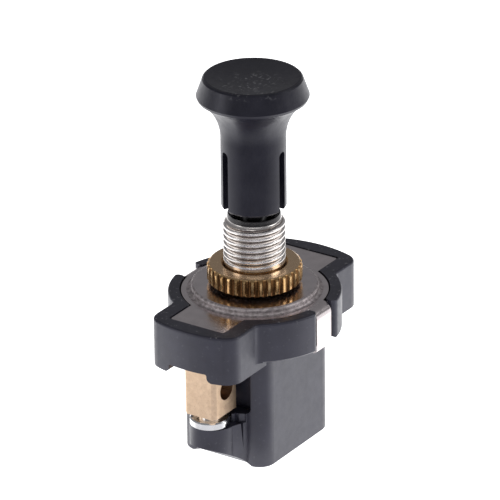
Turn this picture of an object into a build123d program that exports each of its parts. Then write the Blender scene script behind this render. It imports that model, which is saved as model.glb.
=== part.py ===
from build123d import *
import os

os.makedirs("parts", exist_ok=True)

# All sizes in millimetres. X runs through the two terminals, Y through the two
# crimp straps, Z up along the plunger. Origin: middle of the housing's base.

# housing box
BOX_X, BOX_Y = 9.95, 8.2          # half length and half width
BOX_CORNER = 2.8
CAV_X, CAV_Y, CAV_FLOOR = 6.8, 6.0, 1.8
POCKET_X, POCKET_Y, POCKET_Z = 8.0, 5.6, 9.4   # recess behind each terminal block

# flange
Z_RIM = 26.55                     # top of the rim
Z_LEDGE = 24.8                    # floor of the recess that takes the plate
R_HUB, R_HUB_IN, Z_HUB = 14.0, 12.1, 19.8
R_WING, W_WING, Z_WING = 19.75, 8.05, 18.45
WING_CORNER = 2.8
BLEND_R = 1.5                     # hollow rounding in plan where the wings meet the hub
RECESS_X, RECESS_Y = 16.85, 5.25  # recess for the plate in each wing
WING_IN_X, WING_IN_Y = 17.4, 5.6  # hollow below each wing
Z_WING_ROOF = 22.6
NOTCH_Y, NOTCH_Z, NOTCH_R = 3.6, 19.9, 0.9
GAP_X, GAP_Y = 2.4, 12.35         # gaps in the hub for the straps
EAR_R = 0.85                      # rounding of the hub's ends beside each strap

# screw rest below each terminal
TERM_X = 13.3                    # axis of each terminal screw
REST_X, REST_R, REST_TOP = 12.45, 3.8, 10.2
REST_SEAT = 7.95
REST_SEAT_R = 3.45
FLANK_Y = 4.9                     # half width of the rest where it meets the box
DRIVER_R = 2.1

# plate
PLATE_T = 0.8
Z_PLATE = 26.4                    # top of the flat part
R_PLATE = 11.85
PLATE_WING_X, PLATE_WING_Y = 16.65, 5.05
BOSS_R, BOSS_H = 10.35, 1.15
STRAP_W = 2.1
STRAP_Y = 13.2                    # outer face of each strap
STRAP_BEND = 0.8                  # inside radius of the upper bend
STRAP_END = 9.7
BUSH_HOLE_R = 4.85

# bushing
ROD_R = 2.5
BUSH_BORE = 2.56
BUSH_R = 5.0
BUSH_NECK = 4.8
BUSH_FOOT_R, BUSH_FOOT_Z = 4.3, 21.15
BUSH_SHOULDER_R, BUSH_SHOULDER_Z = 6.2, 25.0
THREAD_LOW, THREAD_TOP = 31.45, 38.4
BUSH_TOP, BUSH_TIP_R = 40.0, 4.3

# nut
NUT_LOW, NUT_TOP, NUT_R = 28.15, 31.22, 7.66
NUT_BORE = 4.86
NUT_FLUTES = 35

# knob
KNOB_LOW, KNOB_TOP = 41.1, 63.3
STEM_R, STEM_BORE = 5.25, 3.6
SLOT_W, SLOT_TOP = 1.65, 51.3
SLOT_AZ = 33.8
FLARE = (52.6, (6.03, 56.5), (7.78, 58.95))   # start height, middle and end of the flare under the cap
CAP_LOW, CAP_R, CAP_TOP_R = 59.97, 9.02, 7.92
DISH, DISH_R = 0.45, 62.0
ROD_TOP = 56.4

# plunger and contacts
TRAVEL = 7.0
DETENT_Z = 22.9
GROOVE_R = 2.1
ROD_STEP, ROD_THIN, ROD_LOW = 14.0, 1.6, 2.8
TIP_X, TIP_R, TIP_H = 4.7, 1.1, 0.6
STRIP_LOW, STRIP_T, STRIP_W, STRIP_IN = 17.3, 1.0, 2.4, 3.6
BRIDGE_TOP, BRIDGE_T = 9.05, 0.8
CARRIER_LOW, CARRIER_TOP = 4.6, 13.4
CLIP_LOW, CLIP_TOP = 3.3, 3.9     # groove for the retaining clip

# terminal block
BLOCK_OUT, BLOCK_IN = 16.35, 10.25
BLOCK_W, BLOCK_LOW, BLOCK_TOP = 3.0, 10.2, 20.0
WIRE_X, WIRE_Z, WIRE_R = 12.95, 14.5, 1.75
SCREW_R, SCREW_HOLE = 1.72, 1.78
HEAD_R, HEAD_LOW, HEAD_TOP, SCREW_TIP = 3.25, 8.0, 9.25, 12.1


# ---------------------------------------------------------------- housing
with BuildPart() as housing:
    # the wings' skirts reach lower than the hub
    with BuildSketch(Plane.XY.offset(Z_WING)) as wings:
        Circle(R_WING)
        Rectangle(2 * R_WING + 2, 2 * W_WING, mode=Mode.INTERSECT)
        fillet(wings.vertices(), WING_CORNER)
    extrude(amount=Z_HUB - Z_WING)
    with BuildSketch(Plane.XY.offset(Z_WING)) as between:
        Rectangle(2 * (BOX_X - 1.0), 2 * W_WING + 1)
    extrude(amount=Z_HUB - Z_WING, mode=Mode.SUBTRACT)
    # wings and hub, blended in plan where they meet
    with BuildSketch(Plane.XY.offset(Z_HUB)) as flange:
        Circle(R_WING)
        Rectangle(2 * R_WING + 2, 2 * W_WING, mode=Mode.INTERSECT)
        fillet(flange.vertices(), WING_CORNER)
        Circle(R_HUB)
        fillet([v for v in flange.vertices() if 11 < abs(v.X) < 12 and abs(abs(v.Y) - W_WING) < 0.05], BLEND_R)
    extrude(amount=Z_RIM - Z_HUB)
    fillet(housing.faces().sort_by(Axis.Z)[-1].edges(), 0.4)
    # small bevel along the hub's lower edge
    with BuildPart(mode=Mode.PRIVATE) as bevel:
        with BuildSketch(Plane.XZ):
            with BuildLine():
                Polyline((R_HUB - 0.28, Z_HUB), (R_HUB + 0.1, Z_HUB), (R_HUB + 0.1, Z_HUB + 0.38), close=True)
            make_face()
        revolve(axis=Axis.Z)
        Box(60, 2 * (W_WING + 0.65), 100, mode=Mode.SUBTRACT)
    add(bevel.part, mode=Mode.SUBTRACT)
    # notch in each end wall
    with BuildSketch(Plane.YZ) as notch:
        with Locations((0, (NOTCH_Z + Z_WING - 2) / 2)):
            RectangleRounded(2 * NOTCH_Y, NOTCH_Z - Z_WING + 2, 0.35)
        for end in (-1, 1):
            with Locations((end * (NOTCH_Y + NOTCH_R / 2), Z_WING + NOTCH_R / 2)):
                Rectangle(NOTCH_R, NOTCH_R)
        for end in (-1, 1):
            with Locations((end * (NOTCH_Y + NOTCH_R), Z_WING + NOTCH_R)):
                Circle(NOTCH_R, mode=Mode.SUBTRACT)
    extrude(amount=R_WING + 1, both=True, mode=Mode.SUBTRACT)
    # box
    with BuildPart(mode=Mode.PRIVATE) as box:
        with BuildSketch(Plane.XY):
            RectangleRounded(2 * BOX_X, 2 * BOX_Y, BOX_CORNER)
        extrude(amount=Z_LEDGE)
        fillet(box.faces().sort_by(Axis.Z)[0].edges(), 0.3)
    add(box.part)
    # screw rests under the terminals, with a ramped underside
    for side in (-1, 1):
        with BuildPart(mode=Mode.PRIVATE) as rest:
            with BuildSketch(Plane.XY):
                with BuildLine():
                    inner = side * (BOX_X - 1.2)
                    ThreePointArc((side * REST_X, REST_R), (side * (REST_X + REST_R), 0), (side * REST_X, -REST_R))
                    Polyline(
                        (side * REST_X, -REST_R),
                        (side * BOX_X, -FLANK_Y),
                        (inner, -FLANK_Y),
                        (inner, FLANK_Y),
                        (side * BOX_X, FLANK_Y),
                        (side * REST_X, REST_R),
                    )
                make_face()
            extrude(amount=REST_TOP)
            with BuildSketch(Plane.XZ) as ramp:
                with BuildLine():
                    Spline(
                        (side * 17.5, 4.75),
                        (side * 16.4, 4.62),
                        (side * 15.16, 4.1),
                        (side * 12.9, 2.82),
                        (side * 11.5, 1.93),
                        (side * 10.4, 1.05),
                        (side * 9.95, 0.55),
                        (side * 9.4, -0.2),
                    )
                    Polyline(
                        (side * 9.4, -0.2), (side * 9.4, -2), (side * 17.5, -2), (side * 17.5, 4.75)
                    )
                make_face()
            extrude(amount=8, both=True, mode=Mode.SUBTRACT)
            # the block passes over the rest
            with Locations((side * TERM_X, 0, BLOCK_LOW - 0.2)):
                Box(10, 2 * BLOCK_W + 0.4, 4, align=(Align.CENTER, Align.CENTER, Align.MIN), mode=Mode.SUBTRACT)
        add(rest.part)
        with Locations((side * TERM_X, 0, REST_SEAT)):
            Cylinder(REST_SEAT_R, REST_TOP - REST_SEAT + 0.3, align=(Align.CENTER, Align.CENTER, Align.MIN), mode=Mode.SUBTRACT)
        # the seat is open at the front and beside the screw head
        with BuildSketch(Plane.XY.offset(REST_SEAT)):
            with BuildLine():
                Polyline(
                    (side * 11.45, 2.6),
                    (side * 10.15, 4.55),
                    (side * 10.15, 5.4),
                    (side * 17.5, 5.4),
                    (side * 17.5, -5.4),
                    (side * 10.15, -5.4),
                    (side * 10.15, -4.55),
                    (side * 11.45, -2.6),
                    close=True,
                )
            make_face()
        extrude(amount=REST_TOP - REST_SEAT + 0.3, mode=Mode.SUBTRACT)
        with Locations((side * TERM_X, 0, 0)):
            Cylinder(DRIVER_R, REST_SEAT + 0.5, align=(Align.CENTER, Align.CENTER, Align.MIN), mode=Mode.SUBTRACT)
        # tapered slits where the rest meets the box
        with BuildPart(mode=Mode.PRIVATE) as slit:
            with BuildSketch(Plane.XZ):
                with BuildLine():
                    Polyline((side * 11.25, REST_TOP + 0.1), (side * 10.65, REST_TOP + 0.1), (side * 10.65, 3.5), close=True)
                make_face()
            extrude(amount=5.6, both=True)
            with Locations((side * 10, 0, 5)):
                Box(6, 6.4, 20, mode=Mode.SUBTRACT)
        add(slit.part, mode=Mode.SUBTRACT)
        # the box's lower edge is scooped out under the rest
        with BuildPart(mode=Mode.PRIVATE) as scoop:
            with BuildSketch(Plane.YZ.offset(side * (BOX_X + 0.15))):
                with BuildLine():
                    Spline(
                        (-6.5, -0.2), (-5.95, 0.08), (-5.4, 0.36), (-4.9, 0.62), (-4.4, 0.95), (-3.85, 1.15), (-3.2, 1.24),
                        (0, 1.25),
                        (3.2, 1.24), (3.85, 1.15), (4.4, 0.95), (4.9, 0.62), (5.4, 0.36), (5.95, 0.08), (6.5, -0.2),
                    )
                    Polyline((6.5, -0.2), (6.5, -4), (-6.5, -4), (-6.5, -0.2))
                make_face()
            extrude(amount=3.0, dir=(-side, 0, -0.53))
        add(scoop.part, mode=Mode.SUBTRACT)
        # recess in the end wall behind the terminal block
        with BuildSketch(Plane.YZ.offset(side * POCKET_X)) as pocket:
            with Locations((0, (POCKET_Z + Z_WING_ROOF) / 2)):
                RectangleRounded(2 * POCKET_Y, Z_WING_ROOF - POCKET_Z, 1.0)
        extrude(amount=side * (BOX_X - POCKET_X + 3.6), mode=Mode.SUBTRACT)
        with BuildSketch(Plane.XY.offset(Z_WING)) as hollow:
            with Locations((side * (WING_IN_X + POCKET_X) / 2, 0)):
                Rectangle(WING_IN_X - POCKET_X, 2 * WING_IN_Y)
            fillet([v for v in hollow.vertices() if abs(v.X) > 15], 1.0)
        extrude(amount=Z_WING_ROOF - Z_WING, mode=Mode.SUBTRACT)
        # slot for the contact strip
        with Locations((side * (CAV_X + POCKET_X) / 2, 0, STRIP_LOW + STRIP_T / 2)):
            Box(POCKET_X - CAV_X + 1, 2 * STRIP_W + 0.1, STRIP_T + 0.1, mode=Mode.SUBTRACT)
    # recess for the plate
    with BuildSketch(Plane.XY.offset(Z_LEDGE)) as recess:
        Rectangle(2 * RECESS_X, 2 * RECESS_Y)
        fillet(recess.vertices(), 0.5)
        Circle(R_HUB_IN)
    extrude(amount=4, mode=Mode.SUBTRACT)
    # strap gaps through the rim
    with BuildSketch(Plane.XY.offset(Z_HUB - 0.5)):
        with Locations((0, GAP_Y + 5), (0, -GAP_Y - 5)):
            Rectangle(2 * GAP_X, 10)
    extrude(amount=Z_RIM - Z_HUB + 1, mode=Mode.SUBTRACT)
    with BuildSketch(Plane.XY.offset(Z_LEDGE)):
        with Locations((0, 12.5), (0, -12.5)):
            Rectangle(2 * GAP_X, 4)
    extrude(amount=4, mode=Mode.SUBTRACT)
    # rounded ends of the hub beside each strap, seen from above
    ear_x = GAP_X + EAR_R
    ear_out = ((R_HUB - EAR_R) ** 2 - ear_x**2) ** 0.5
    ear_in = ((R_HUB_IN + EAR_R) ** 2 - ear_x**2) ** 0.5
    tip_out = ear_x * R_HUB / (R_HUB - EAR_R)
    tip_in = ear_x * R_HUB_IN / (R_HUB_IN + EAR_R)
    with BuildSketch(Plane.XY.offset(Z_HUB - 0.5)) as ears_out:
        for sx, sy in ((1, 1), (1, -1), (-1, 1), (-1, -1)):
            with Locations((sx * (GAP_X - 0.1 + tip_out) / 2, sy * (ear_out + 15) / 2)):
                Rectangle(tip_out - GAP_X + 0.1, 15 - ear_out)
        for sx, sy in ((1, 1), (1, -1), (-1, 1), (-1, -1)):
            with Locations((sx * ear_x, sy * ear_out)):
                Circle(EAR_R, mode=Mode.SUBTRACT)
    extrude(amount=Z_RIM - Z_HUB + 1, mode=Mode.SUBTRACT)
    with BuildSketch(Plane.XY.offset(Z_LEDGE)) as ears_in:
        for sx, sy in ((1, 1), (1, -1), (-1, 1), (-1, -1)):
            with Locations((sx * (GAP_X - 0.1 + tip_in) / 2, sy * (ear_in + 11.2) / 2)):
                Rectangle(tip_in - GAP_X + 0.1, ear_in - 11.2)
        for sx, sy in ((1, 1), (1, -1), (-1, 1), (-1, -1)):
            with Locations((sx * ear_x, sy * ear_in)):
                Circle(EAR_R, mode=Mode.SUBTRACT)
    extrude(amount=4, mode=Mode.SUBTRACT)
    # rounded lower corners of the hub beside each strap
    for out in (1, -1):
        with BuildSketch(Plane.XZ.offset(out * GAP_Y)) as corners:
            for side in (-1, 1):
                with Locations((side * (GAP_X + 0.5), Z_HUB + 0.5)):
                    Rectangle(1.0, 1.0)
            for side in (-1, 1):
                with Locations((side * (GAP_X + 1.0), Z_HUB + 1.0)):
                    Circle(1.0, mode=Mode.SUBTRACT)
        extrude(amount=out * 5, mode=Mode.SUBTRACT)
    # cavity
    with BuildSketch(Plane.XY.offset(CAV_FLOOR)):
        RectangleRounded(2 * CAV_X, 2 * CAV_Y, 1.2)
    extrude(amount=Z_RIM, mode=Mode.SUBTRACT)
housing.part.label = "housing"
export_step(housing.part, "parts/housing.step")


# ---------------------------------------------------------------- plate
with BuildPart() as mounting_plate:
    with BuildSketch(Plane.XY.offset(Z_PLATE - PLATE_T)) as outline:
        Rectangle(2 * PLATE_WING_X, 2 * PLATE_WING_Y)
        fillet(outline.vertices(), 0.5)
        Circle(R_PLATE)
    extrude(amount=PLATE_T)
    with BuildPart(mode=Mode.PRIVATE) as boss:
        with BuildSketch(Plane.XY.offset(Z_PLATE - 0.1)):
            Circle(BOSS_R)
        extrude(amount=BOSS_H + 0.1)
        fillet(boss.faces().sort_by(Axis.Z)[-1].edges(), 0.55)
    add(boss.part)
    root = [e for e in mounting_plate.edges().filter_by(GeomType.CIRCLE) if abs(e.radius - BOSS_R) < 0.01]
    fillet([e for e in root if abs(e.center().Z - Z_PLATE) < 0.01], 0.5)
    with Locations((0, 0, Z_PLATE - PLATE_T)):
        Cylinder(BOSS_R - 0.8, BOSS_H, align=(Align.CENTER, Align.CENTER, Align.MIN), mode=Mode.SUBTRACT)
    with Locations((0, 0, Z_PLATE)):
        Cylinder(BUSH_HOLE_R, 6, mode=Mode.SUBTRACT)
    # straps folded over the rim and under the hub
    for side in (-1, 1):
        ctr_y, ctr_z = STRAP_Y - PLATE_T - STRAP_BEND, Z_PLATE - PLATE_T - STRAP_BEND
        with BuildSketch(Plane.YZ) as strap:
            with BuildLine():
                s = side
                h = 0.70710678
                ro, ri = STRAP_BEND + PLATE_T, STRAP_BEND
                zb = Z_HUB - 0.05
                Line((s * 11.0, Z_PLATE), (s * ctr_y, Z_PLATE))
                ThreePointArc((s * ctr_y, Z_PLATE), (s * (ctr_y + ro * h), ctr_z + ro * h), (s * STRAP_Y, ctr_z))
                Line((s * STRAP_Y, ctr_z), (s * STRAP_Y, zb - PLATE_T + 0.7))
                ThreePointArc(
                    (s * STRAP_Y, zb - PLATE_T + 0.7),
                    (s * (STRAP_Y - 0.7 + 0.7 * h), zb - PLATE_T + 0.7 - 0.7 * h),
                    (s * (STRAP_Y - 0.7), zb - PLATE_T),
                )
                Line((s * (STRAP_Y - 0.7), zb - PLATE_T), (s * STRAP_END, zb - PLATE_T))
                Line((s * STRAP_END, zb - PLATE_T), (s * STRAP_END, zb))
                Line((s * STRAP_END, zb), (s * (STRAP_Y - PLATE_T), zb))
                Line((s * (STRAP_Y - PLATE_T), zb), (s * (STRAP_Y - PLATE_T), ctr_z))
                ThreePointArc((s * (STRAP_Y - PLATE_T), ctr_z), (s * (ctr_y + ri * h), ctr_z + ri * h), (s * ctr_y, ctr_z + ri))
                Line((s * ctr_y, ctr_z + ri), (s * 11.0, ctr_z + ri))
                Line((s * 11.0, ctr_z + ri), (s * 11.0, Z_PLATE))
            make_face()
        extrude(amount=STRAP_W, both=True)
mounting_plate.part.label = "mounting_plate"
export_step(mounting_plate.part, "parts/mounting_plate.step")

with BuildPart() as insulator_sheet:
    with BuildSketch(Plane.XY.offset(Z_LEDGE)) as sheet:
        Rectangle(2 * PLATE_WING_X - 0.6, 2 * PLATE_WING_Y - 0.4)
        Circle(11.3)
        Circle(BUSH_SHOULDER_R + 0.3, mode=Mode.SUBTRACT)
    extrude(amount=Z_PLATE - PLATE_T - Z_LEDGE)
insulator_sheet.part.label = "insulator_sheet"
export_step(insulator_sheet.part, "parts/insulator_sheet.step")


# ---------------------------------------------------------------- bushing
with BuildPart() as bushing:
    with BuildSketch(Plane.XZ):
        with BuildLine():
            Polyline(
                (BUSH_BORE, BUSH_FOOT_Z),
                (BUSH_FOOT_R, BUSH_FOOT_Z),
                (BUSH_FOOT_R, BUSH_SHOULDER_Z),
                (BUSH_SHOULDER_R, BUSH_SHOULDER_Z),
                (BUSH_SHOULDER_R, Z_PLATE + BOSS_H - PLATE_T),
                (BUSH_NECK, Z_PLATE + BOSS_H - PLATE_T),
                (BUSH_NECK, Z_PLATE + BOSS_H),
                (BUSH_NECK + 0.6, Z_PLATE + BOSS_H),
                (BUSH_NECK + 0.35, Z_PLATE + BOSS_H + 0.35),
                (BUSH_NECK, Z_PLATE + BOSS_H + 0.35),
                (BUSH_NECK, THREAD_LOW),
                (BUSH_R, THREAD_LOW),
                (BUSH_R, THREAD_TOP),
                (BUSH_R - 0.55, THREAD_TOP + 0.5),
                (BUSH_TIP_R + 0.05, THREAD_TOP + 0.6),
                (BUSH_TIP_R, BUSH_TOP - 0.3),
                (BUSH_TIP_R - 0.35, BUSH_TOP),
                (BUSH_BORE + 0.25, BUSH_TOP),
                (BUSH_BORE, BUSH_TOP - 0.25),
                close=True,
            )
        make_face()
    revolve(axis=Axis.Z)
    # cross slots for the legs of the detent spring
    for side in (-1, 1):
        with Locations((0, side * (GROOVE_R - 0.05 + 2), DETENT_Z)):
            Box(14, 4, 1.0, mode=Mode.SUBTRACT)
bushing.part.label = "bushing"
export_step(bushing.part, "parts/bushing.step")

with BuildPart() as detent_spring:
    wire_r, leg_y = 0.4, GROOVE_R + 0.42
    with BuildLine() as hairpin:
        Line((4.6, leg_y, DETENT_Z), (-3.2, leg_y, DETENT_Z))
        ThreePointArc((-3.2, leg_y, DETENT_Z), (-3.2 - leg_y, 0, DETENT_Z), (-3.2, -leg_y, DETENT_Z))
        Line((-3.2, -leg_y, DETENT_Z), (4.6, -leg_y, DETENT_Z))
    with BuildSketch(Plane(origin=(4.6, leg_y, DETENT_Z), z_dir=(-1, 0, 0))):
        Circle(wire_r)
    sweep(path=hairpin.line)
detent_spring.part.label = "detent_spring"
export_step(detent_spring.part, "parts/detent_spring.step")


# ---------------------------------------------------------------- nut
with BuildPart() as knurled_nut:
    with BuildSketch(Plane.XZ):
        with BuildLine():
            Polyline(
                (NUT_BORE + 0.45, NUT_LOW),
                (NUT_R - 0.4, NUT_LOW),
                (NUT_R, NUT_LOW + 0.35),
                (NUT_R, NUT_TOP - 0.55),
                (NUT_R - 0.15, NUT_TOP - 0.25),
                (NUT_R - 0.5, NUT_TOP),
                (NUT_BORE + 0.5, NUT_TOP),
                (NUT_BORE, NUT_TOP - 0.5),
                (NUT_BORE, NUT_LOW + 0.45),
                close=True,
            )
        make_face()
    revolve(axis=Axis.Z)
    with BuildSketch(Plane.XY.offset(NUT_LOW - 0.5)):
        with PolarLocations(NUT_R + 0.14, NUT_FLUTES):
            Circle(0.52)
    extrude(amount=NUT_TOP - NUT_LOW + 1, mode=Mode.SUBTRACT)
knurled_nut.part.label = "knurled_nut"
export_step(knurled_nut.part, "parts/knurled_nut.step")


# ---------------------------------------------------------------- knob
with BuildPart() as knob:
    with BuildSketch(Plane.XZ):
        with BuildLine():
            Polyline(
                (0, ROD_TOP + 0.2),
                (ROD_R, ROD_TOP + 0.2),
                (ROD_R, SLOT_TOP + 0.9),
                (STEM_BORE, SLOT_TOP + 0.3),
                (STEM_BORE, KNOB_LOW),
                (STEM_R - 0.25, KNOB_LOW),
                (STEM_R, KNOB_LOW + 0.3),
                (STEM_R, FLARE[0]),
            )
            ThreePointArc((STEM_R, FLARE[0]), FLARE[1], FLARE[2])
            Polyline(
                FLARE[2],
                (CAP_R - 0.2, CAP_LOW - 0.25),
                (CAP_R, CAP_LOW + 0.22),
                (CAP_TOP_R + 0.1, KNOB_TOP - 0.3),
                (CAP_TOP_R - 0.15, KNOB_TOP - 0.06),
                (CAP_TOP_R - 0.45, KNOB_TOP),
            )
            Polyline((CAP_TOP_R - 0.45, KNOB_TOP), (0, KNOB_TOP), (0, ROD_TOP + 0.2))
        make_face()
    revolve(axis=Axis.Z)
    # shallow dish in the top
    with Locations((0, 0, KNOB_TOP - DISH + DISH_R)):
        Sphere(DISH_R, mode=Mode.SUBTRACT)
    # three slots make the stem a collet
    for turn in (0, 120, 240):
        with BuildSketch(Plane.YZ.rotated((0, 0, SLOT_AZ + turn)).offset(3.0)):
            with Locations((0, (KNOB_LOW - 4 + SLOT_TOP) / 2)):
                RectangleRounded(SLOT_W, SLOT_TOP - KNOB_LOW + 4, 0.7)
        extrude(amount=4, mode=Mode.SUBTRACT)
knob.part.label = "knob"
export_step(knob.part, "parts/knob.step")


# ---------------------------------------------------------------- plunger
with BuildPart() as plunger_rod:
    with BuildSketch(Plane.XZ):
        with BuildLine():
            pts = [
                (0, ROD_LOW),
                (ROD_THIN - 0.25, ROD_LOW),
                (ROD_THIN, ROD_LOW + 0.25),
                (ROD_THIN, CLIP_LOW),
                (1.2, CLIP_LOW),
                (1.2, CLIP_TOP),
                (ROD_THIN, CLIP_TOP),
                (ROD_THIN, ROD_STEP),
                (ROD_R, ROD_STEP),
            ]
            for z in (DETENT_Z - TRAVEL, DETENT_Z):
                pts += [(ROD_R, z - 0.95), (GROOVE_R, z - 0.5), (GROOVE_R, z + 0.5), (ROD_R, z + 0.95)]
            pts += [(ROD_R, ROD_TOP - 0.4), (ROD_R - 0.4, ROD_TOP), (0, ROD_TOP)]
            Polyline(*pts, close=True)
        make_face()
    revolve(axis=Axis.Z)
plunger_rod.part.label = "plunger_rod"
export_step(plunger_rod.part, "parts/plunger_rod.step")

with BuildPart() as stop_washer:
    with BuildSketch(Plane.XY.offset(CARRIER_TOP)):
        Circle(3.1)
        Circle(ROD_THIN + 0.02, mode=Mode.SUBTRACT)
    extrude(amount=ROD_STEP - CARRIER_TOP)
stop_washer.part.label = "stop_washer"
export_step(stop_washer.part, "parts/stop_washer.step")

with BuildPart() as carrier:
    with BuildSketch(Plane.XZ):
        with BuildLine():
            Polyline(
                (ROD_THIN + 0.02, CARRIER_LOW),
                (2.3, CARRIER_LOW),
                (2.3, BRIDGE_TOP),
                (3.1, BRIDGE_TOP),
                (3.1, CARRIER_TOP),
                (ROD_THIN + 0.02, CARRIER_TOP),
                close=True,
            )
        make_face()
    revolve(axis=Axis.Z)
carrier.part.label = "carrier"
export_step(carrier.part, "parts/carrier.step")

with BuildPart() as contact_bridge:
    with BuildSketch(Plane.XY.offset(BRIDGE_TOP - BRIDGE_T)) as plan:
        RectangleRounded(12.2, 3.6, 1.2)
        Circle(3.7)
        Circle(2.4, mode=Mode.SUBTRACT)
    extrude(amount=BRIDGE_T)
contact_bridge.part.label = "contact_bridge"
export_step(contact_bridge.part, "parts/contact_bridge.step")

for side, name in ((-1, "left"), (1, "right")):
    with BuildPart() as bridge_tip:
        with Locations((side * TIP_X, 0, BRIDGE_TOP)):
            Cylinder(TIP_R, TIP_H, align=(Align.CENTER, Align.CENTER, Align.MIN))
        fillet(bridge_tip.faces().sort_by(Axis.Z)[-1].edges(), 0.2)
    bridge_tip.part.label = f"bridge_tip_{name}"
    export_step(bridge_tip.part, f"parts/bridge_tip_{name}.step")

with BuildPart() as contact_spring:
    with BuildLine() as coil:
        Helix(pitch=0.95, height=2.85, radius=3.0, center=(0, 0, CARRIER_LOW + 0.38))
    with BuildSketch(Plane(origin=coil.line @ 0, z_dir=coil.line % 0)):
        Circle(0.3)
    sweep(path=coil.line, is_frenet=True)
contact_spring.part.label = "contact_spring"
export_step(contact_spring.part, "parts/contact_spring.step")

with BuildPart() as spring_washer:
    with BuildSketch(Plane.XY.offset(CLIP_TOP)):
        Circle(3.9)
        Circle(ROD_THIN + 0.02, mode=Mode.SUBTRACT)
    extrude(amount=0.7)
spring_washer.part.label = "spring_washer"
export_step(spring_washer.part, "parts/spring_washer.step")

with BuildPart() as retaining_clip:
    with BuildSketch(Plane.XY.offset(CLIP_LOW + 0.04)):
        Circle(3.0)
        Circle(1.22, mode=Mode.SUBTRACT)
        with Locations((2.0, 0)):
            Rectangle(4.0, 1.9, mode=Mode.SUBTRACT)
    extrude(amount=0.5)
retaining_clip.part.label = "retaining_clip"
export_step(retaining_clip.part, "parts/retaining_clip.step")


# ---------------------------------------------------------------- terminals
for side, name in ((-1, "left"), (1, "right")):
    with BuildPart() as terminal_block:
        with BuildSketch(Plane.XY.offset(BLOCK_LOW)) as plan:
            with Locations((side * (BLOCK_OUT + BLOCK_IN) / 2, 0)):
                Rectangle(BLOCK_OUT - BLOCK_IN, 2 * BLOCK_W)
            chamfer([v for v in plan.vertices() if abs(v.X) > BLOCK_OUT - 0.1], 0.6)
        extrude(amount=BLOCK_TOP - BLOCK_LOW)
        with Locations((side * WIRE_X, 0, WIRE_Z)):
            Cylinder(WIRE_R, 10, rotation=(90, 0, 0), mode=Mode.SUBTRACT)
        with Locations((side * TERM_X, 0, BLOCK_LOW - 1)):
            Cylinder(SCREW_HOLE, WIRE_Z - BLOCK_LOW + 1, align=(Align.CENTER, Align.CENTER, Align.MIN), mode=Mode.SUBTRACT)
        with Locations((side * (BLOCK_IN + 0.8), 0, STRIP_LOW + STRIP_T / 2)):
            Box(1.6, 3.0, STRIP_T, mode=Mode.SUBTRACT)
    terminal_block.part.label = f"terminal_block_{name}"
    export_step(terminal_block.part, f"parts/terminal_block_{name}.step")

    with BuildPart() as terminal_screw:
        with BuildSketch(Plane.XZ.offset(0)):
            with BuildLine():
                c = side * TERM_X
                Polyline(
                    (c, HEAD_LOW),
                    (c + HEAD_R - 0.12, HEAD_LOW),
                    (c + HEAD_R, HEAD_LOW + 0.1),
                    (c + HEAD_R, HEAD_TOP - 0.2),
                    (c + HEAD_R - 0.2, HEAD_TOP),
                    (c + SCREW_R, HEAD_TOP),
                    (c + SCREW_R, SCREW_TIP - 0.4),
                    (c + SCREW_R - 0.4, SCREW_TIP),
                    (c, SCREW_TIP),
                    close=True,
                )
            make_face()
        revolve(axis=Axis((side * TERM_X, 0, 0), (0, 0, 1)))
        with Locations((side * TERM_X, 0, HEAD_LOW)):
            Box(0.9, 8, 1.3, mode=Mode.SUBTRACT)
    terminal_screw.part.label = f"terminal_screw_{name}"
    export_step(terminal_screw.part, f"parts/terminal_screw_{name}.step")

    with BuildPart() as fixed_contact:
        with BuildSketch(Plane.XY.offset(STRIP_LOW)) as plan:
            with Locations((side * (STRIP_IN + BLOCK_IN) / 2, 0)):
                Rectangle(BLOCK_IN - STRIP_IN, 2 * STRIP_W)
            fillet([v for v in plan.vertices() if abs(v.X) < STRIP_IN + 0.1], 0.8)
            with Locations((side * (BLOCK_IN + 0.75), 0)):
                Rectangle(1.5, 3.0)
        extrude(amount=STRIP_T)
    fixed_contact.part.label = f"fixed_contact_{name}"
    export_step(fixed_contact.part, f"parts/fixed_contact_{name}.step")

    with BuildPart() as fixed_tip:
        with Locations((side * TIP_X, 0, STRIP_LOW)):
            Cylinder(TIP_R, TIP_H, align=(Align.CENTER, Align.CENTER, Align.MAX))
        fillet(fixed_tip.faces().sort_by(Axis.Z)[0].edges(), 0.2)
    fixed_tip.part.label = f"fixed_tip_{name}"
    export_step(fixed_tip.part, f"parts/fixed_tip_{name}.step")
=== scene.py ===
import bpy, bmesh, math
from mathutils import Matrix, Quaternion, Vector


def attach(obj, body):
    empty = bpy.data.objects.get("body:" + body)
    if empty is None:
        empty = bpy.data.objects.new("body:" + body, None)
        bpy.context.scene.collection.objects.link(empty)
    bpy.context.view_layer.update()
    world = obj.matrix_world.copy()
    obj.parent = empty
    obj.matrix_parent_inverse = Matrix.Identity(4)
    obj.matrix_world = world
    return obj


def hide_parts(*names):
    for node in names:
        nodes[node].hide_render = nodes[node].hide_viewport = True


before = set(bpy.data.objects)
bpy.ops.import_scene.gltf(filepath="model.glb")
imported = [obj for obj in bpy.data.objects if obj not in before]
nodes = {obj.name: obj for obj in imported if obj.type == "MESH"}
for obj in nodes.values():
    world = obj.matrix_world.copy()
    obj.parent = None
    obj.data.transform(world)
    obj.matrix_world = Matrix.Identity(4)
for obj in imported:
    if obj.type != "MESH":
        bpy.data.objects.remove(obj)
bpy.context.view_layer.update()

MM = 0.001
scene = bpy.context.scene


# ------------------------------------------------------------------ node helpers
def new_mat(name):
    m = bpy.data.materials.new(name)
    m.use_nodes = True
    nt = m.node_tree
    b = nt.nodes["Principled BSDF"]
    return m, nt, b


def coords(nt, scale=(1, 1, 1)):
    tc = nt.nodes.new("ShaderNodeTexCoord")
    mp = nt.nodes.new("ShaderNodeMapping")
    mp.inputs["Scale"].default_value = scale
    nt.links.new(tc.outputs["Object"], mp.inputs["Vector"])
    return mp.outputs["Vector"]


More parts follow.
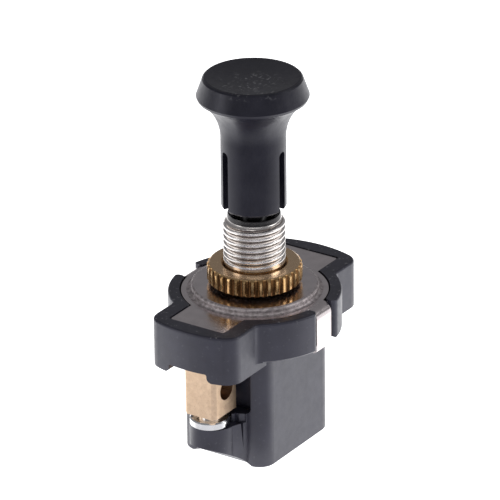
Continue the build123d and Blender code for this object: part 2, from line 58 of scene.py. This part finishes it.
def xyz(nt):
    tc = nt.nodes.new("ShaderNodeTexCoord")
    s = nt.nodes.new("ShaderNodeSeparateXYZ")
    nt.links.new(tc.outputs["Object"], s.inputs["Vector"])
    return s.outputs["X"], s.outputs["Y"], s.outputs["Z"]


def calc(nt, op, a, b=None, c=None):
    n = nt.nodes.new("ShaderNodeMath")
    n.operation = op
    for i, v in enumerate((a, b, c)):
        if v is None:
            continue
        if isinstance(v, (int, float)):
            n.inputs[i].default_value = v
        else:
            nt.links.new(v, n.inputs[i])
    return n.outputs["Value"]


def noise(nt, vec, scale, detail=3.0, rough=0.5):
    n = nt.nodes.new("ShaderNodeTexNoise")
    n.inputs["Scale"].default_value = scale
    n.inputs["Detail"].default_value = detail
    n.inputs["Roughness"].default_value = rough
    nt.links.new(vec, n.inputs["Vector"])
    return n.outputs["Fac"]


def ramp(nt, fac, stops):
    r = nt.nodes.new("ShaderNodeValToRGB")
    e = r.color_ramp.elements
    while len(e) < len(stops):
        e.new(0.5)
    for el, (p, c) in zip(e, stops):
        el.position = p
        el.color = (*c, 1) if len(c) == 3 else c
    nt.links.new(fac, r.inputs["Fac"])
    return r.outputs["Color"]


def span(nt, fac, lo, hi, a=0.0, b=1.0, smooth=False):
    r = nt.nodes.new("ShaderNodeMapRange")
    r.inputs["From Min"].default_value = a
    r.inputs["From Max"].default_value = b
    r.inputs["To Min"].default_value = lo
    r.inputs["To Max"].default_value = hi
    if smooth:
        r.interpolation_type = "SMOOTHSTEP"
    nt.links.new(fac, r.inputs["Value"])
    return r.outputs["Result"]


def mix(nt, fac, a, b):
    m = nt.nodes.new("ShaderNodeMix")
    m.data_type = "RGBA"
    m.clamp_factor = True
    for key, v in (("Factor", fac), ("A", a), ("B", b)):
        sock = [s for s in m.inputs if s.name == key and (s.type == "RGBA" or key == "Factor" and s.type == "VALUE")][0]
        if isinstance(v, (int, float)):
            sock.default_value = v
        elif isinstance(v, tuple):
            sock.default_value = (*v, 1)
        else:
            nt.links.new(v, sock)
    return [s for s in m.outputs if s.type == "RGBA"][0]


def bump(nt, height, strength, distance, chain=None):
    b = nt.nodes.new("ShaderNodeBump")
    b.inputs["Strength"].default_value = strength
    b.inputs["Distance"].default_value = distance
    nt.links.new(height, b.inputs["Height"])
    if chain is not None:
        nt.links.new(chain, b.inputs["Normal"])
    return b.outputs["Normal"]


# ------------------------------------------------------------------ materials
def plastic(name, dark, light, rough, grain, specks=None, ior=1.5):
    """Moulded plastic: faint mottling, fine grain, and pale specks where the mask lets them: dust, and on the housing
    rim also painted glints.
    """
    m, nt, b = new_mat(name)
    v = coords(nt)
    col = ramp(nt, noise(nt, v, 260, 4), [(0.3, dark), (0.72, light)])
    r = span(nt, noise(nt, v, 900, 5), rough[0], rough[1], 0.3, 0.7)
    if specks:
        mask, tint = specks(nt, v)
        col = mix(nt, mask, col, tint)
    nt.links.new(col, b.inputs["Base Color"])
    nt.links.new(r, b.inputs["Roughness"])
    nt.links.new(bump(nt, noise(nt, v, 4200, 3), grain, 0.00008), b.inputs["Normal"])
    b.inputs["IOR"].default_value = ior
    b.inputs["Specular Tint"].default_value = (0.91, 0.905, 1.0, 1)
    return m


def metal(name, dark, light, rough, scale=700, stretch=(1, 1, 1), bump_s=0.05, extra=None, dull=None):
    m, nt, b = new_mat(name)
    v = coords(nt, stretch)
    col = ramp(nt, noise(nt, v, scale, 4), [(0.3, dark), (0.7, light)])
    if extra:
        col = extra(nt, v, col)
    nt.links.new(col, b.inputs["Base Color"])
    b.inputs["Metallic"].default_value = 1.0
    r = span(nt, noise(nt, v, scale * 1.7, 5), rough[0], rough[1], 0.3, 0.7)
    if dull:
        r = calc(nt, "MULTIPLY_ADD", dull(nt), 0.32, r)
    nt.links.new(r, b.inputs["Roughness"])
    nt.links.new(bump(nt, noise(nt, v, scale * 2.5, 3), bump_s, 0.00005), b.inputs["Normal"])
    return m


def away(nt, a, b, a0, b0):
    """Distance from a line, in the two coordinates given."""
    da, db = calc(nt, "SUBTRACT", a, a0 * MM), calc(nt, "SUBTRACT", b, b0 * MM)
    return calc(nt, "SQRT", calc(nt, "ADD", calc(nt, "MULTIPLY", da, da), calc(nt, "MULTIPLY", db, db)))


def knob_specks(nt, v):
    """Dust in the dish, thickest towards the front of it."""
    x, y, z = xyz(nt)
    grains = span(nt, noise(nt, v, 1900, 2, 0.4), 0, 1, 0.58, 0.66)
    patch = span(nt, noise(nt, v, 330, 2), 0.25, 1, 0.40, 0.56)
    near = span(nt, away(nt, x, y, -2.4, -1.5), 1, 0.05, 2.5 * MM, 6.5 * MM, True)
    top = span(nt, z, 0, 0.75, 62.3 * MM, 62.6 * MM)
    return calc(nt, "MULTIPLY", calc(nt, "MULTIPLY", grains, patch), calc(nt, "MULTIPLY", near, top)), (0.26, 0.26, 0.27)


# Pale specks on the housing: sparse dust all over, dense on the rim top and its rounded edge, where they are partly
# painted glints standing for the highlight along that edge.
def housing_dust_and_glints(nt, v):
    x, y, z = xyz(nt)
    grains = span(nt, noise(nt, v, 2200, 2, 0.4), 0, 1, 0.66, 0.72)
    edge = span(nt, z, 0, 1, 26.2 * MM, 26.5 * MM)
    low = calc(nt, "MULTIPLY_ADD", edge, 0.45, 0.05)
    return calc(nt, "MULTIPLY", grains, low), (0.30, 0.30, 0.31)


def block_look(nt, v, col):
    """Tumbled brass with fine dark pores; painted shade darkens the inside of the wire bore."""
    x, y, z = xyz(nt)
    pores = span(nt, noise(nt, v, 5200, 2, 0.5), 0, 0.55, 0.60, 0.74)
    col = mix(nt, pores, col, (0.50, 0.34, 0.20))
    hole_shade = span(nt, away(nt, calc(nt, "ABSOLUTE", x), z, 12.95, 14.5), 1, 0, 1.74 * MM, 1.77 * MM)
    return mix(nt, hole_shade, col, (0.14, 0.06, 0.02))


def nut_look(nt, v, col):
    """Duller and paler on the flat top; painted shade makes it dark brown down in the flutes."""
    x, y, z = xyz(nt)
    r = away(nt, x, y, 0, 0)
    flute_shade = span(nt, r, 0.92, 0, 7.40 * MM, 7.64 * MM, True)
    side = span(nt, z, 1, 0, 30.9 * MM, 31.1 * MM)
    col = mix(nt, calc(nt, "MULTIPLY", flute_shade, side), col, (0.12, 0.05, 0.016))
    top = calc(nt, "MULTIPLY", span(nt, z, 0, 0.8, 31.1 * MM, 31.2 * MM), span(nt, r, 0, 1, 5.3 * MM, 5.5 * MM))
    return mix(nt, top, col, (0.66, 0.47, 0.30))


def thread_look(nt, v, col):
    """Painted shade darkens the thread roots to brown; the collar above the thread is painted near-black as shade from
    the knob over it.
    """
    x, y, z = xyz(nt)
    root_shade = span(nt, away(nt, x, y, 0, 0), 0.85, 0, 4.5 * MM, 4.8 * MM, True)
    run = calc(nt, "MULTIPLY", span(nt, z, 0, 1, 31.8 * MM, 32.2 * MM), span(nt, z, 1, 0, 38.6 * MM, 38.9 * MM))
    col = mix(nt, calc(nt, "MULTIPLY", root_shade, run), col, (0.24, 0.20, 0.17))
    # Painted shade: the collar above the thread is near-black, standing for the knob's shade on it.
    return mix(nt, span(nt, z, 0, 0.96, 39.0 * MM, 39.1 * MM), col, (0.035, 0.035, 0.037))


def boss_edge(nt):
    """One on the drawn edge of the boss, nothing elsewhere."""
    x, y, z = xyz(nt)
    r = away(nt, x, y, 0, 0)
    edge = calc(nt, "MULTIPLY", span(nt, r, 0, 1, 9.85 * MM, 10.05 * MM, True), span(nt, r, 1, 0, 10.9 * MM, 11.1 * MM, True))
    return calc(nt, "MULTIPLY", edge, span(nt, z, 0, 1, 26.2 * MM, 26.3 * MM))


def plate_look(nt, v, col):
    """The drawn edge of the boss is duller and darker than the flat, in fine patches: the darker colour is partly wear
    of the plating, partly painted shade that dims the edge's reflections.
    """
    boss_wear_and_shade = span(nt, noise(nt, v, 1600, 3), 0.06, 0.68, 0.40, 0.60)
    return mix(nt, calc(nt, "MULTIPLY", boss_edge(nt), boss_wear_and_shade), col, (0.24, 0.21, 0.21))


M = {
    "housing": plastic("housing_plastic", (0.015, 0.015, 0.024), (0.022, 0.022, 0.035), (0.32, 0.42), 0.06, housing_dust_and_glints, 1.6),
    "knob": plastic("knob_plastic", (0.005, 0.005, 0.010), (0.010, 0.010, 0.017), (0.28, 0.38), 0.16, knob_specks),
    "plate": metal("plate_steel", (0.58, 0.53, 0.53), (0.67, 0.61, 0.61), (0.17, 0.27), 500, (1, 1, 1), 0.10, plate_look, boss_edge),
    "bushing": metal("bushing_nickel", (0.82, 0.78, 0.75), (0.96, 0.92, 0.89), (0.16, 0.28), 900, (1, 1, 6), 0.05, thread_look),
    "nut": metal("nut_brass", (0.58, 0.34, 0.14), (0.84, 0.57, 0.28), (0.18, 0.30), 900, (1, 1, 1), 0.08, nut_look),
    "block": metal("block_brass", (0.69, 0.505, 0.35), (0.81, 0.615, 0.44), (0.42, 0.55), 1500, (1, 1, 1), 0.18, block_look),
    "screw": metal("screw_steel", (0.80, 0.80, 0.80), (0.90, 0.90, 0.90), (0.12, 0.22), 900),
    "rod": metal("rod_steel", (0.30, 0.30, 0.31), (0.38, 0.38, 0.39), (0.25, 0.38), 900, (1, 1, 8)),
    "spring": metal("spring_steel", (0.32, 0.32, 0.33), (0.42, 0.42, 0.43), (0.22, 0.34), 900),
    "contact": metal("contact_brass", (0.66, 0.46, 0.20), (0.78, 0.56, 0.27), (0.25, 0.38), 900),
    "silver": metal("silver", (0.78, 0.78, 0.77), (0.88, 0.88, 0.87), (0.18, 0.28), 900),
    "fibre": plastic("fibre", (0.16, 0.07, 0.03), (0.24, 0.11, 0.05), (0.6, 0.75), 0.3),
    "carrier": plastic("carrier_plastic", (0.10, 0.045, 0.02), (0.14, 0.065, 0.03), (0.4, 0.5), 0.1),
}
USE = {
    "housing": "housing", "knob": "knob", "mounting_plate": "plate", "bushing": "bushing", "knurled_nut": "nut",
    "insulator_sheet": "fibre", "detent_spring": "spring", "plunger_rod": "rod", "stop_washer": "rod",
    "carrier": "carrier", "contact_bridge": "contact", "bridge_tip_left": "silver", "bridge_tip_right": "silver",
    "contact_spring": "spring", "spring_washer": "rod", "retaining_clip": "spring",
    "fixed_contact_left": "contact", "fixed_contact_right": "contact", "fixed_tip_left": "silver", "fixed_tip_right": "silver",
    "terminal_block_left": "block", "terminal_block_right": "block",
    "terminal_screw_left": "screw", "terminal_screw_right": "screw",
}
for n, o in nodes.items():
    o.data.materials.clear()
    o.data.materials.append(M[USE[n]])


# ------------------------------------------------------------------ threaded bushing
def bushing_mesh():
    """The sleeve with its M10 x 1 thread cut as a true right-hand helix, all in millimetres."""
    N, PITCH = 144, 1.0
    PROFILE = [(-0.20, 4.96), (-0.13, 5.0), (0.13, 5.0), (0.20, 4.96), (0.28, 4.82), (0.36, 4.66), (0.43, 4.52),
               (0.47, 4.475), (0.53, 4.475), (0.57, 4.52), (0.64, 4.66), (0.72, 4.82)]
    Z_LO, Z_RUN, Z_HI = 31.75, 32.35, 38.95
    FACING = math.radians(213.8)

    bm = bmesh.new()
    ang = [2 * math.pi * i / N for i in range(N)]

    def ring(r, z):
        return [bm.verts.new((r * math.cos(a), r * math.sin(a), z)) for a in ang]

    def join(a, b):
        for i in range(N):
            k = (i + 1) % N
            bm.faces.new((a[i], a[k], b[k], b[i]))

    low = [ring(r, z) for r, z in (
        (2.56, 21.35), (2.76, 21.15), (4.05, 21.15), (4.3, 21.4), (4.3, 25.0), (6.05, 25.0), (6.2, 25.15), (6.2, 26.6), (6.05, 26.75),
        (4.8, 26.75), (4.8, 27.55), (5.4, 27.55), (5.38, 27.7), (5.15, 27.9), (4.8, 27.9), (4.8, 31.3), (4.95, 31.45), (5.0, 31.5), (5.0, Z_LO))]
    top = [ring(r, z) for r, z in (
        (4.35, Z_HI), (4.3, 39.02), (4.3, 39.75), (4.22, 39.93), (4.05, 40.0), (2.76, 40.0), (2.56, 39.8))]
    for chain in (low, top):
        for a, b in zip(chain, chain[1:]):
            join(a, b)
    join(top[-1], low[0])

    def radius(z, r):
        t = min(1.0, max(0.0, (z - Z_LO) / (Z_RUN - Z_LO)))
        r = 5.0 - (5.0 - r) * t * t * (3 - 2 * t)
        return min(r, 5.0 - (z - 38.35) * 0.65 / (Z_HI - 38.35))

    made = {}
    P = len(PROFILE)
    base = 29

    def vert(i, j):
        if i == N:
            i, j = 0, j + P
        z = base + j // P + PROFILE[j % P][0] * PITCH + (ang[i] - FACING) / (2 * math.pi)
        if z <= Z_LO:
            return low[-1][i]
        if z >= Z_HI:
            return top[0][i]
        if (i, j) not in made:
            r = radius(z, PROFILE[j % P][1])
            made[i, j] = bm.verts.new((r * math.cos(ang[i]), r * math.sin(ang[i]), z))
        return made[i, j]

    for i in range(N):
        for j in range(0, P * 13):
            quad = [vert(i, j), vert(i + 1, j), vert(i + 1, j + 1), vert(i, j + 1)]
            face = []
            for q in quad:
                if q not in face:
                    face.append(q)
            if len(face) > 2:
                try:
                    bm.faces.new(face)
                except ValueError:
                    pass
    bmesh.ops.scale(bm, vec=(MM, MM, MM), verts=bm.verts)
    bmesh.ops.recalc_face_normals(bm, faces=bm.faces)
    me = bpy.data.meshes.new("threaded_bushing")
    bm.to_mesh(me)
    bm.free()
    return me


def slotted(o, boxes):
    """Cuts square slots from a mesh, for good."""
    for lo, hi in boxes:
        bm = bmesh.new()
        bmesh.ops.create_cube(bm, size=1.0)
        for v in bm.verts:
            v.co = Vector([(lo[k] + hi[k]) / 2 * MM + v.co[k] * (hi[k] - lo[k]) * MM for k in range(3)])
        me = bpy.data.meshes.new("cutter")
        bm.to_mesh(me)
        bm.free()
        c = bpy.data.objects.new("cutter", me)
        scene.collection.objects.link(c)
        m = o.modifiers.new("slot", "BOOLEAN")
        m.operation, m.solver, m.object = "DIFFERENCE", "EXACT", c
        bpy.context.view_layer.update()
        dg = bpy.context.evaluated_depsgraph_get()
        done = bpy.data.meshes.new_from_object(o.evaluated_get(dg))
        o.modifiers.clear()
        o.data = done
        bpy.data.objects.remove(c)


bush = bpy.data.objects.new("threaded_bushing", bushing_mesh())
scene.collection.objects.link(bush)
slotted(bush, [((-7, 2.05, 22.4), (7, 6.05, 23.4)), ((-7, -6.05, 22.4), (7, -2.05, 23.4))])
bush.data.name = "threaded_bushing"
bush.data.materials.clear()
bush.data.materials.append(M["bushing"])
bush.data.set_sharp_from_angle(angle=math.radians(38))
bush.data.polygons.foreach_set("use_smooth", [True] * len(bush.data.polygons))
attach(bush, "body")
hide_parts("bushing")


# ------------------------------------------------------------------ stage
floor_me = bpy.data.meshes.new("floor")
s = 6.0
floor_me.from_pydata([(-s, -s, 0), (s, -s, 0), (s, s, 0), (-s, s, 0)], [], [(0, 1, 2, 3)])
floor = bpy.data.objects.new("floor", floor_me)
scene.collection.objects.link(floor)
fm, nt, b = new_mat("floor_white")
b.inputs["Base Color"].default_value = (0.9, 0.9, 0.9, 1)
b.inputs["Roughness"].default_value = 0.9
b.inputs["Emission Color"].default_value = (1, 1, 1, 1)
b.inputs["Emission Strength"].default_value = 1.5
floor_me.materials.append(fm)
floor.location.z = -0.00002

w = bpy.data.worlds.new("studio")
scene.world = w
w.use_nodes = True
bg = w.node_tree.nodes["Background"]
bg.inputs["Color"].default_value = (0.23, 0.23, 0.24, 1)
bg.inputs["Strength"].default_value = 1.0


def area(name, loc, target, size, power, color=(1, 1, 1)):
    l = bpy.data.lights.new(name, "AREA")
    l.shape = "RECTANGLE"
    l.size, l.size_y = size
    l.energy = power
    l.color = color
    o = bpy.data.objects.new(name, l)
    scene.collection.objects.link(o)
    o.location = loc
    o.rotation_mode = "QUATERNION"
    o.rotation_quaternion = (Vector(target) - Vector(loc)).to_track_quat("-Z", "Y")
    return o


area("front", (-0.42, -0.28, 0.58), (0, 0, 0.03), (0.7, 0.2), 0.6)
area("key", (0.34, -0.58, 0.42), (0, 0, 0.02), (0.4, 0.3), 1.1)
area("fill", (-0.57, 0.42, 0.30), (0, 0, 0.03), (0.3, 0.4), 0.6)

# a dark card lying in front of the set, which only reflections see
card_me = bpy.data.meshes.new("card")
c = 0.7
card_me.from_pydata([(-c, -c, 0), (c, -c, 0), (c, c, 0), (-c, c, 0)], [], [(0, 1, 2, 3)])
card = bpy.data.objects.new("card", card_me)
scene.collection.objects.link(card)
card.location.z = 0.00005
card.rotation_euler.z = math.radians(213.8)
card.visible_camera = card.visible_diffuse = card.visible_shadow = False
card.visible_transmission = card.visible_volume_scatter = False
cm, nt, b = new_mat("card_dark")
cx, cy, cz = xyz(nt)
turn = calc(nt, "ABSOLUTE", calc(nt, "ARCTAN2", cy, cx))
reach = away(nt, cx, cy, 0, 0)
aside = calc(nt, "ABSOLUTE", calc(nt, "ADD", calc(nt, "ARCTAN2", cy, cx), math.radians(9)))
close = span(nt, aside, 0.64, 0, math.radians(43), math.radians(78), True)
near = span(nt, turn, 0.52, 0, math.radians(36), math.radians(70), True)
near = calc(nt, "MULTIPLY_ADD", calc(nt, "SUBTRACT", near, close), span(nt, reach, 0, 1, 0.036, 0.052, True), close)
far = span(nt, turn, 0.95, 0.25, math.radians(38), math.radians(115))
blend = span(nt, reach, 0, 1, 0.055, 0.095, True)
cover = calc(nt, "MULTIPLY_ADD", calc(nt, "SUBTRACT", far, near), blend, near)
cover = calc(nt, "MULTIPLY", cover, span(nt, reach, 0, 1, 0.014, 0.022, True))
b.inputs["Base Color"].default_value = (0.0, 0.0, 0.0, 1)
b.inputs["Roughness"].default_value = 1.0
b.inputs["Emission Color"].default_value = (0.13, 0.13, 0.19, 1)
b.inputs["Emission Strength"].default_value = 1.0
nt.links.new(cover, b.inputs["Alpha"])
card_me.materials.append(cm)


# ------------------------------------------------------------------ camera
AZ, EL, DIST = math.radians(-56.178), math.radians(25.268), 0.8153
back = Vector((math.sin(AZ) * math.cos(EL), -math.cos(AZ) * math.cos(EL), math.sin(EL)))
right = Vector((math.cos(AZ), math.sin(AZ), 0))
up = back.cross(right)
origin = Vector((0, 0, 26.4 * MM))
cam = bpy.data.cameras.new("camera")
cam.lens, cam.sensor_width = 365.843, 36.0
cam.clip_start, cam.clip_end = 0.05, 20
co = bpy.data.objects.new("camera", cam)
scene.collection.objects.link(co)
co.location = origin + back * DIST
aim = origin + right * (-0.715 * MM) + up * (6.127 * MM)
co.rotation_mode = "QUATERNION"
co.rotation_quaternion = (aim - co.location).to_track_quat("-Z", "Y") @ Quaternion((0, 0, 1), math.radians(-0.65))
scene.camera = co
scene.view_settings.view_transform = "Standard"
scene.view_settings.look = "None"
